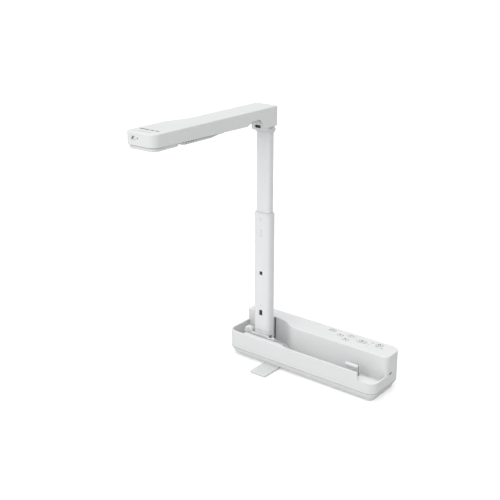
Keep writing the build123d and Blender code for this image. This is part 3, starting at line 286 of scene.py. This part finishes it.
def board(name):
    """Solder mask with tracks showing through and a few vias."""
    mat = Surface(name)
    tracks = mat.node("ShaderNodeTexBrick", {
        "Scale": 260.0,
        "Mortar Size": 0.07,
        "Color1": (0.010, 0.075, 0.030),
        "Color2": (0.012, 0.085, 0.034),
        "Mortar": (0.03, 0.17, 0.07),
        "Vector": mat.coord,
    })
    via = mat.remap(mat.cells(scale=230.0, feature="F1"), span=(0.10, 0.14), to=(1.0, 0.0))
    return mat.finish({
        "Base Color": mat.mix(via, tracks.outputs["Color"], (0.5, 0.42, 0.2)),
        "Roughness": mat.remap(mat.noise(scale=300.0), to=(0.28, 0.4)),
        "Normal": mat.bump(tracks.outputs["Fac"], strength=0.3, distance=0.00004),
    })


def ribbon_cable(name):
    """Flat cable with its wires side by side across X."""
    mat = Surface(name)
    wires = mat.bands(scale=160.0, direction="X")
    return mat.finish({
        "Base Color": mat.mix(wires, (0.62, 0.60, 0.55), (0.82, 0.81, 0.77)),
        "Roughness": mat.remap(mat.noise(scale=200.0), to=(0.35, 0.5)),
        "Normal": mat.bump(wires, strength=0.4, distance=0.0001),
    })


def lens(name):
    """Coated optical glass over a dark barrel, with a little dust."""
    mat = Surface(name)
    # near black facing the camera, purple towards grazing angles: a painted reflection of the
    # coating
    tint_and_painted_reflection = mat.mix(mat.facing(blend=0.35), (0.010, 0.012, 0.022), (0.06, 0.02, 0.09))
    specks = mat.noise(scale=900.0, detail=3.0, rough=0.7)
    dust_and_painted_shade = mat.remap(specks, span=(0.66, 0.76), to=(0.0, 0.10))
    smears = mat.noise(scale=500.0, detail=3.0)
    return mat.finish({
        "Base Color": mat.mix(dust_and_painted_shade, tint_and_painted_reflection, grey(0.35)),
        "Roughness": mat.remap(smears, span=(0.4, 0.8), to=(0.03, 0.10)),
        "Coat Weight": 1.0,
        "Coat Roughness": 0.02,
        "Coat Tint": (0.75, 0.7, 1.0),
        "IOR": 1.6,
    })


def frosted(name):
    """Frosted lamp window: prismatic dot texture, slightly translucent."""
    mat = Surface(name)
    cloud = mat.noise(scale=180.0, detail=3.0)
    clouding = mat.remap(cloud, span=(0.35, 0.7))
    return mat.finish({
        "Base Color": mat.mix(clouding, (0.80, 0.81, 0.80), (0.88, 0.88, 0.86)),
        "Roughness": mat.remap(cloud, to=(0.30, 0.42)),
        "Transmission Weight": 0.35,
        "Subsurface Weight": 0.2,
        "Subsurface Radius": grey(0.002),
        "Normal": mat.bump(mat.cells(scale=1300.0), strength=0.5, distance=0.0001),
    })


def phosphor(name):
    """Yellow, finely grained lamp chip."""
    mat = Surface(name)
    grains = mat.noise(scale=2500.0, detail=2.0)
    return mat.finish({
        "Base Color": mat.mix(mat.remap(grains), (0.85, 0.66, 0.10), (0.95, 0.80, 0.25)),
        "Roughness": 0.35,
        "Normal": mat.bump(grains, strength=0.3, distance=0.00005),
    })


def light_pipe(name, tone):
    """Glossy tinted plastic, its colour darker towards grazing angles as painted shade."""
    mat = Surface(name)
    return mat.finish({
        "Base Color": mat.mix(mat.facing(blend=0.5), tone, shade(tone, 0.5)),
        "Roughness": mat.remap(mat.noise(scale=800.0), to=(0.10, 0.22)),
        "Coat Weight": 0.6,
    })


def ink(name, tone):
    """Pad-printed ink: slight density variation and a soft semi-matt surface."""
    mat = Surface(name)
    density = mat.noise(scale=1800.0, detail=3.0, rough=0.7)
    thin = mat.remap(density, span=(0.35, 0.75), to=(0.0, 0.5))
    return mat.finish({
        "Base Color": mat.mix(thin, tone, shade(tone, 1.5, lift=0.02)),
        "Roughness": mat.remap(density, to=(0.4, 0.55)),
        "Normal": mat.bump(density, strength=0.2, distance=0.00002),
    })


materials = {}


def add(name, maker, **values):
    materials[name] = maker(name, **values)


add("shell_white", moulded, tone=(0.700, 0.706, 0.708), rough=0.46)
add("column_white", coated_tube, tone=(0.705, 0.711, 0.718), rough=0.36)
# the keys take a stronger painted shade in the gaps round them
add("key_white", moulded, tone=(0.710, 0.715, 0.716), rough=0.38, grain=6000.0,
    grain_depth=0.00002, edge=0.00025, dirt=0.45)
add("black_plastic", moulded, tone=(0.018, 0.018, 0.019), rough=0.45, dirt=0.0)
add("switch_black", moulded, tone=(0.03, 0.03, 0.031), rough=0.4, dirt=0.0)
add("rubber", soft_rubber, tone=(0.030, 0.030, 0.031))
add("steel", plated_metal, tone=(0.62, 0.62, 0.63), rough=0.30)
add("circuit_board", board)
add("ribbon", ribbon_cable)
add("lamp_chip", phosphor)
add("diffuser", frosted)
add("lens_glass", lens)
add("indicator", light_pipe, tone=(0.10, 0.12, 0.14))
add("ink", ink, tone=(0.030, 0.031, 0.033))
add("ink_soft", ink, tone=(0.30, 0.305, 0.31))
# faint ink, also used for the painted shade round the keys
add("ink_faint", ink, tone=(0.40, 0.405, 0.41))
# dark material for the painted shade in the base's parting line and the catch's gap
add("seam", moulded, tone=grey(0.16), rough=0.7, dirt=0.0)
# a lighter dark for the painted shade round the arm's head and along its rim
add("seam_soft", moulded, tone=(0.27, 0.272, 0.273), rough=0.7, dirt=0.0)
add("gold", plated_metal, tone=(0.85, 0.62, 0.25), rough=0.22)
# a lighter copy of the shell white: painted light on the base's lower skirt
add("skirt_white", moulded, tone=(0.80, 0.803, 0.803), rough=0.48, dirt=0.10)
add("foot_white", moulded, tone=(0.66, 0.664, 0.665), rough=0.50, grain=3200.0,
    grain_depth=0.00006)

# the bottom cover takes a lighter copy of the shell white, painted light on its skirt, and the
# stabiliser foot a slightly darker white with a coarser grain; the rest take the one their slot
# names
PAINTED_LIGHT_AND_OWN_FINISH = {"bottom_cover": "skirt_white", "stabilizer_foot": "foot_white"}
slots = {row["node"]: row["material_slot"] for row in frame["record"]["subparts"]}
for name, piece in frame["nodes"].items():
    piece.data.materials.clear()
    piece.data.materials.append(materials[PAINTED_LIGHT_AND_OWN_FINISH.get(name) or slots[name]])
    for polygon in piece.data.polygons:
        polygon.material_index = 0


# -------------------------------------------------------------- mesh building
# what an added piece rides on, and a material slot name
ON_BASE = ("base", "shell_white")
ON_ARM = ("arm", "shell_white")
ON_COLUMN = ("column_lower", "column_white")


def mesh_piece(name, solid, material, owner):
    """An object from (vertices, faces); owner holds its body and slot, and the slot is not used.
    """
    verts, faces = solid
    mesh = bpy.data.meshes.new(name)
    mesh.from_pydata([tuple(vert) for vert in verts], [], faces)
    work = bmesh.new()
    work.from_mesh(mesh)
    bmesh.ops.remove_doubles(work, verts=work.verts, dist=1e-7)
    bmesh.ops.recalc_face_normals(work, faces=work.faces)
    work.to_mesh(mesh)
    work.free()
    mesh.materials.append(materials[material])
    piece = bpy.data.objects.new(name, mesh)
    bpy.context.scene.collection.objects.link(piece)
    body, slot = owner
    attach(piece, body)
    return piece


def sweep(sections, closed=False):
    """A solid through four-cornered sections, joined end to end or capped."""
    verts = [corner for section in sections for corner in section]
    starts = range(0, len(verts), 4)
    faces = []
    for a, b in zip(starts, [*starts[1:], 0] if closed else starts[1:]):
        for k in range(4):
            faces.append((a + k, a + (k + 1) % 4, b + (k + 1) % 4, b + k))
    if not closed:
        last = starts[-1]
        faces.append((0, 1, 2, 3))
        faces.append((last + 3, last + 2, last + 1, last))
    return verts, faces


def arc_path(x, y, radius, start, end, steps):
    """(point, outward normal) pairs round an arc; angles in degrees."""
    path = []
    for i in range(steps + 1):
        angle = math.radians(start + (end - start) * i / steps)
        normal = (math.cos(angle), math.sin(angle))
        path.append(((x + radius * normal[0], y + radius * normal[1]), normal))
    return path


def rect_path(width, height, radius, steps, x=0.0, y=0.0):
    """(point, outward normal) pairs round a rectangle with round corners."""
    path = []
    for side_x, side_y, start in ((1, 1, 0), (-1, 1, 90), (-1, -1, 180), (1, -1, 270)):
        corner_x = x + side_x * (width / 2 - radius)
        corner_y = y + side_y * (height / 2 - radius)
        path += arc_path(corner_x, corner_y, radius, start, start + 90, steps)
    return path


def arc(*values):
    return [point for point, normal in arc_path(*values)]


def rounded_rect(width, height, radius, steps=5, x=0.0, y=0.0):
    return [point for point, normal in rect_path(width, height, radius, steps, x, y)]


# -------------------------------------------------------------- printed marks
# Lengths in mm. A print stands a little proud of its surface and is rooted below it.
PRINT_TOP = 0.03
PRINT_ROOT = -0.06
ICON_LINE = 0.52

KEY_TOP = 57.0  # z of the key caps
HOUSING_TOP = 56.4  # z of the housing round the keys
COLUMN_X = 47.8
COLUMN_FRONT = 16.0  # y
ARM_TOP = 373.5  # z


class PrintPlane:
    """A printing plane; its normal points out of the surface."""

    def __init__(self, origin, across, up):
        self.origin = origin
        self.across = Vector(across)
        self.up = Vector(up)
        self.normal = self.across.cross(self.up)

    def at(self, x, y, height):
        return self.origin + (self.across * x + self.up * y + self.normal * height) * MM


def facing_up(x, y, z):
    return PrintPlane(station(x, y, z), across=(1, 0, 0), up=(0, 1, 0))


def facing_front(x, y, z):
    return PrintPlane(station(x, y, z), across=(1, 0, 0), up=(0, 0, 1))


# a shape is (points, line width or None for a filled patch, closed)
def line(points, width=ICON_LINE):
    return points, width, False


def loop(points, width=ICON_LINE):
    return points, width, True


def patch(points):
    return points, None, True


def stroke_solid(points, width, closed, plane):
    """A line of even width, mitred at its bends."""
    points = [Vector(point) for point in points]
    legs = [(end - start).normalized() for start, end in zip(points, points[1:])]
    first, last = legs[0], legs[-1]
    if closed:
        first = last = (points[0] - points[-1]).normalized()
    sections = []
    for point, before, after in zip(points, [first] + legs, legs + [last]):
        heading = (before + after).normalized()
        mitre = 1.0 / heading.dot(before)
        side = Vector((-heading.y, heading.x)) * width / 2 * mitre
        left, right = point + side, point - side
        corners = ((left, PRINT_TOP), (right, PRINT_TOP),
                   (right, PRINT_ROOT), (left, PRINT_ROOT))
        sections.append([plane.at(edge.x, edge.y, height) for edge, height in corners])
    return sweep(sections, closed)


def patch_solid(points, plane):
    count = len(points)
    verts = [plane.at(x, y, height) for height in (PRINT_TOP, PRINT_ROOT) for x, y in points]
    faces = [tuple(range(count)), tuple(reversed(range(count, 2 * count)))]
    for i in range(count):
        after = (i + 1) % count
        faces.append((i, count + i, count + after, after))
    return verts, faces


def print_marks(name, shapes, plane, material, owner):
    """One object from all the shapes printed on a plane."""
    verts, faces = [], []
    for points, width, closed in shapes:
        if width is None:
            shape_verts, shape_faces = patch_solid(points, plane)
        else:
            shape_verts, shape_faces = stroke_solid(points, width, closed, plane)
        first = len(verts)
        verts += shape_verts
        faces += [tuple(i + first for i in face) for face in shape_faces]
    mesh_piece(name, (verts, faces), material, owner)


MAGNIFIER = [
    loop(arc(-0.3, 0.3, 1.3, 0, 345, 18)),
    line([(0.7, -0.7), (1.8, -1.8)]),
    line([(-0.9, 0.3), (0.3, 0.3)]),
]
SMALL_KEY = (8.4, 5.2)
# key: station x and y of its middle, its width and depth, its icon
KEYS = {
    "key_left": (142.6, 60.9, (10.0, 5.6), [
        loop(rounded_rect(3.6, 2.4, 0.4)),
        line([(-3.0, -1.6), (-3.0, 1.6)]),
        line([(3.0, -1.6), (3.0, 1.6)]),
    ]),
    "key_zoom_out": (159.8, 54.1, SMALL_KEY, MAGNIFIER),
    "key_zoom_in": (172.8, 46.9, SMALL_KEY, MAGNIFIER + [line([(-0.3, -0.3), (-0.3, 0.9)])]),
    "key_mode": (173.6, 60.5, SMALL_KEY, [
        line(arc(0, 0, 1.5, 40, 320, 22)),
        patch([(2.3, 0.1), (0.4, 0.3), (1.35, 1.8)]),
    ]),
    "key_capture": (194.7, 54.9, (14.0, 7.0), [
        loop(rounded_rect(8.4, 3.8, 0.7)),
        loop(arc(0, 0, 1.1, 0, 345, 18)),
        line([(-1.2, 2.5), (1.2, 2.5)]),
    ]),
    "key_power": (219.9, 59.9, (9.0, 9.0), [
        line(arc(0, 0, 2.1, 125, 415, 26), width=0.95),
        line([(0, 0.4), (0, 3.1)], width=0.95),
    ]),
}
OUTLINE_GROWTH = 1.3  # added to a key's width and depth
OUTLINE_RADIUS_GROWTH = 0.5  # added to half the key's smaller size

key_gap_shade = []
for key, (x, y, (width, depth), icon) in KEYS.items():
    print_marks(key + "_icon", icon, facing_up(x, y, KEY_TOP), "ink",
                (key + "_body", "key_white"))
    # a faint grey ring round each key, painted shade for the gap round it
    key_gap_shade.append(loop(rounded_rect(
        width + OUTLINE_GROWTH, depth + OUTLINE_GROWTH,
        min(width, depth) / 2 + OUTLINE_RADIUS_GROWTH, 6, x, y), width=0.55))

# painted shade: faint grey rings round the keys for the shade in the gaps round them; and
# straight marks between and in front of the keys
housing = facing_up(0, 0, HOUSING_TOP)
print_marks("key_gap_shade_lines", key_gap_shade, housing, "ink_faint", ON_BASE)
print_marks("panel_marks", [
    line([(207.6, 43.0), (207.6, 64.0)], width=0.5),
    line([(182.2, 52.0), (182.2, 64.0)], width=0.5),
], housing, "ink_faint", ON_BASE)
print_marks("power_marks", [
    line([(216.4, 53.0), (221.2, 53.0)], width=0.7),
    line([(224.4, 53.0), (229.6, 53.0)], width=0.7),
], housing, "ink", ON_BASE)

# front of the column: an up-and-down arrow over a small box, and a low arrowhead
print_marks("column_mark", [
    line([(0, -2.3), (0, 2.3)], width=0.36),
    patch([(-1.1, 1.7), (1.1, 1.7), (0, 3.4)]),
    patch([(1.1, -1.7), (-1.1, -1.7), (0, -3.4)]),
    loop(rounded_rect(4.4, 1.5, 0.3, 3, 0.0, -6.0), width=0.3),
], facing_front(COLUMN_X, COLUMN_FRONT, 196.0), "ink_soft", ON_COLUMN)
print_marks("column_arrow", [
    patch([(-1.0, 0.8), (1.0, 0.8), (0, -0.9)]),
], facing_front(COLUMN_X, COLUMN_FRONT, 84.0), "ink_soft", ON_COLUMN)

# lamp symbol on the button at the arm's tip
print_marks("lamp_button_icon", [
    patch([(-2.1, -1.7), (-1.1, -2.0), (1.9, 1.0), (2.3, 2.2), (1.1, 2.0)]),
    loop(arc(0.5, 0.6, 1.1, 0, 340, 14), width=0.6),
    line([(-2.5, 0.6), (-1.5, 0.4)], width=0.45),
    line([(0.9, -1.3), (1.6, -1.9)], width=0.45),
], facing_front(33.1, -207.85, 366.7), "ink", ("lamp_button_body", "key_white"))

# a broken stripe across the arm near its tip, and a faint one in front of it
ARM_DASHES = ((33.2, 16.0), (45.4, 6.0), (53.2, 6.4))  # middle x, length
arm_top = facing_up(0, 0, ARM_TOP)
print_marks("arm_stripe", [
    patch(rounded_rect(length, 2.4, 1.1, 4, x, -187.6)) for x, length in ARM_DASHES
], arm_top, "ink", ON_ARM)
print_marks("arm_stripe_small", [
    patch(rounded_rect(20.0, 1.3, 0.6, 4, 43.0, -197.6)),
], arm_top, "ink_faint", ON_ARM)


# ---------------------------------------------------------------------- painted shade in seams and gaps
def band(name, path, z_low, z_high, outward, inward, material, owner, closed=False):
    """A thin upright band along a plan path of (station point, outward normal)."""
    corners = ((outward, z_high), (outward, z_low), (-inward, z_low), (-inward, z_high))
    sections = [
        [station(x + normal_x * out, y + normal_y * out, z) for out, z in corners]
        for (x, y), (normal_x, normal_y) in path
    ]
    mesh_piece(name, sweep(sections, closed), material, owner)


def head_path(inset, back_y):
    """Plan path round the front of the arm's head, moved in by inset."""
    left, right, tip = 19.4 + inset, 66.4 - inset, -207.4 + inset
    left_radius, right_radius = 8.0 - inset, 10.0 - inset
    return [
        ((left, back_y), (-1.0, 0.0)),
        *arc_path(left + left_radius, tip + left_radius, left_radius, 180.0, 270.0, 10),
        *arc_path(right - right_radius, tip + right_radius, right_radius, 270.0, 360.0, 10),
        ((right, back_y), (1.0, 0.0)),
    ]


def rim_shade_line():
    """Painted shadow line: a dark strip along the arm's right rim, which drops evenly towards the
    back.
    """
    front_y, back_y, steps = -159.5, -84.0, 12
    outer_x, inner_x = 66.2, 65.0
    above, below = 0.1, 0.5
    rim_start_y, rim_start_z = -212.4, 357.9
    rim_drop, rim_length = 2.6, 174.4
    sections = []
    for i in range(steps + 1):
        y = front_y + (back_y - front_y) * i / steps
        rim = rim_start_z - (y - rim_start_y) * rim_drop / rim_length
        corners = ((outer_x, rim + above), (outer_x, rim - below),
                   (inner_x, rim - below), (inner_x, rim + above))
        sections.append([station(x, y, z) for x, z in corners])
    mesh_piece("arm_rim_shade", sweep(sections), "seam_soft", ON_ARM)


# painted shade: a dark band along the parting line between the two halves of the base
band("base_parting_shade",
     rect_path(BASE_LENGTH, BASE_DEPTH, 12.6, 14, BASE_LENGTH / 2, BASE_DEPTH / 2),
     z_low=12.78, z_high=13.2, outward=0.02, inward=0.8,
     material="seam", owner=ON_BASE, closed=True)

# painted shade: a dark band in the gap between the arm shell and the cover under the head
band("head_gap_shade", head_path(inset=2.1, back_y=-168.5),
     z_low=356.75, z_high=357.85, outward=0.06, inward=0.6,
     material="seam_soft", owner=ON_ARM)
rim_shade_line()

# painted shade: a dark sheet in the gap between the catch tongue and its right-hand guide
band("catch_gap_shade", [((214.0, 16.7), (1.0, 0.0)), ((214.0, 19.0), (1.0, 0.0))],
     z_low=25.0, z_high=38.9, outward=0.16, inward=0.16,
     material="seam", owner=ON_BASE)


# ------------------------------------------------------------ socket contacts
SOCKET_X, SOCKET_Z = 118.0, 31.3
CONTACT_Y = (58.6, 66.0)
CONTACT_OFFSET_X, CONTACT_OFFSET_Z = 1.4, 1.66  # from the socket's middle
CONTACT_HALF_WIDTH, CONTACT_HALF_HEIGHT = 0.45, 0.06
CONTACT_BEVEL = 0.05
BOX_FACES = [(0, 1, 3, 2), (4, 6, 7, 5), (0, 4, 5, 1), (2, 3, 7, 6), (0, 2, 6, 4), (1, 5, 7, 3)]


def contact(name, x, z):
    low = station(x - CONTACT_HALF_WIDTH, CONTACT_Y[0], z - CONTACT_HALF_HEIGHT)
    high = station(x + CONTACT_HALF_WIDTH, CONTACT_Y[1], z + CONTACT_HALF_HEIGHT)
    verts = [(x, y, z) for x in (low.x, high.x) for y in (low.y, high.y) for z in (low.z, high.z)]
    piece = mesh_piece(name, (verts, BOX_FACES), "gold", ("base", "steel"))
    piece.modifiers.new("bevel", "BEVEL").width = CONTACT_BEVEL * MM


for row, side_z in enumerate((1, -1)):
    for column, side_x in enumerate((-1, 1)):
        contact("usb_contact_%d" % (2 * row + column + 1),
                SOCKET_X + side_x * CONTACT_OFFSET_X, SOCKET_Z + side_z * CONTACT_OFFSET_Z)


# ----------------------------------------------------------------- the studio
FLOOR_HALF = 40.0
FLOOR_Z = -0.00002  # just under the feet
FLOOR_GLOW = 0.36  # emission the camera sees
# a patch of floor at the front glows, unseen by the camera, and lights the front faces
CARD_GLOW = 0.51
CARD_X = -0.10  # its middle
CARD_FADE_X = (0.10, 0.60)  # distance from the middle, full to none
CARD_FADE_Y = (-0.35, -0.02)  # full to none

# light from the surround, as a soft lobe along each vector with its length as strength
SKY_LOBES = (
    (0.0, 0.0, 1.50),  # overhead
    (0.0, -1.09, 0.0),  # front
    (-0.11, 0.0, 0.0),  # left
)
SKY_COLOUR = (0.992, 0.998, 1.0)


def floor_material():
    mat = Surface("floor")
    camera_ray = mat.camera_ray()
    mottle = mat.remap(mat.noise(scale=3.0, detail=2.0))
    bounce = mat.mix(mottle, grey(0.695), grey(0.705))

    position = mat.node("ShaderNodeNewGeometry").outputs["Position"]
    split = mat.node("ShaderNodeSeparateXYZ", {0: position})
    from_middle = mat.math("ABSOLUTE", mat.math("ADD", split.outputs["X"], -CARD_X))
    card_x = mat.remap(from_middle, span=CARD_FADE_X, to=(1.0, 0.0))
    card_y = mat.remap(split.outputs["Y"], span=CARD_FADE_Y, to=(1.0, 0.0))
    card = mat.math("MULTIPLY", mat.math("MULTIPLY", card_x, card_y), CARD_GLOW)
    unseen = mat.math("SUBTRACT", 1.0, camera_ray)
    seen_glow = mat.math("MULTIPLY", camera_ray, FLOOR_GLOW)
    return mat.finish({
        "Base Color": mat.mix(camera_ray, grey(0.57), bounce),
        "Emission Color": grey(1.0),
        "Emission Strength": mat.math("ADD", seen_glow, mat.math("MULTIPLY", card, unseen)),
        "Roughness": 0.9,
        "Specular IOR Level": 0.1,
    })


def build_floor():
    mesh = bpy.data.meshes.new("floor")
    corners = [(x * FLOOR_HALF, y * FLOOR_HALF, 0)
               for x, y in ((-1, -1), (1, -1), (1, 1), (-1, 1))]
    mesh.from_pydata(corners, [], [(0, 1, 2, 3)])
    floor = bpy.data.objects.new("floor", mesh)
    floor.location.z = FLOOR_Z
    bpy.context.scene.collection.objects.link(floor)
    mesh.materials.append(floor_material())


def build_world():
    """The lobes light the scene; the camera sees plain white."""
    world = bpy.data.worlds.new("studio")
    world.use_nodes = True
    bpy.context.scene.world = world
    sky = Graph(world.node_tree)
    direction = sky.node("ShaderNodeTexCoord").outputs["Generated"]
    lobes = [sky.math("MAXIMUM", sky.dot(direction, lobe), 0.0) for lobe in SKY_LOBES]
    strength = lobes[0]
    for lobe in lobes[1:]:
        strength = sky.math("ADD", strength, lobe)
    light = sky.node("ShaderNodeBackground", {"Color": SKY_COLOUR, "Strength": strength})
    backdrop = sky.node("ShaderNodeBackground", {"Color": grey(1.0), "Strength": 1.0})
    mixed = sky.node("ShaderNodeMixShader", {
        0: sky.camera_ray(),
        1: light.outputs[0],
        2: backdrop.outputs[0],
    })
    sky.node("ShaderNodeOutputWorld", {0: mixed.outputs[0]})


def build_sun(name, direction, strength, angle):
    """A soft light that comes from direction; angle in degrees."""
    light = bpy.data.lights.new(name, "SUN")
    light.energy = strength
    light.angle = math.radians(angle)
    sun = bpy.data.objects.new(name, light)
    sun.rotation_mode = "QUATERNION"
    sun.rotation_quaternion = Vector(direction).normalized().to_track_quat("Z", "Y")
    bpy.context.scene.collection.objects.link(sun)


def build_camera(location, azimuth, elevation, lens_mm):
    """Azimuth is turned from the front towards the right; angles in degrees."""
    settings = bpy.data.cameras.new("camera")
    camera = bpy.data.objects.new("camera", settings)
    bpy.context.scene.collection.objects.link(camera)
    settings.sensor_width = 36.0
    settings.lens = lens_mm
    settings.clip_start = 0.01
    settings.clip_end = 200.0
    turn, tilt = math.radians(azimuth), math.radians(elevation)
    back = Vector((math.sin(turn) * math.cos(tilt), -math.cos(turn) * math.cos(tilt),
                   math.sin(tilt)))
    right = Vector((math.cos(turn), math.sin(turn), 0.0))
    rotation = Matrix((right, back.cross(right), back)).transposed().to_4x4()
    camera.matrix_world = Matrix.Translation(Vector(location)) @ rotation
    bpy.context.scene.camera = camera


build_floor()
build_world()
build_sun("key", direction=(-0.30, -0.50, 0.80), strength=0.02, angle=30)
bpy.context.scene.view_settings.view_transform = "Standard"
bpy.context.scene.view_settings.look = "None"
build_camera(location=(0.6339, -0.9372, 0.5898), azimuth=38.49, elevation=19.93, lens_mm=63.25)
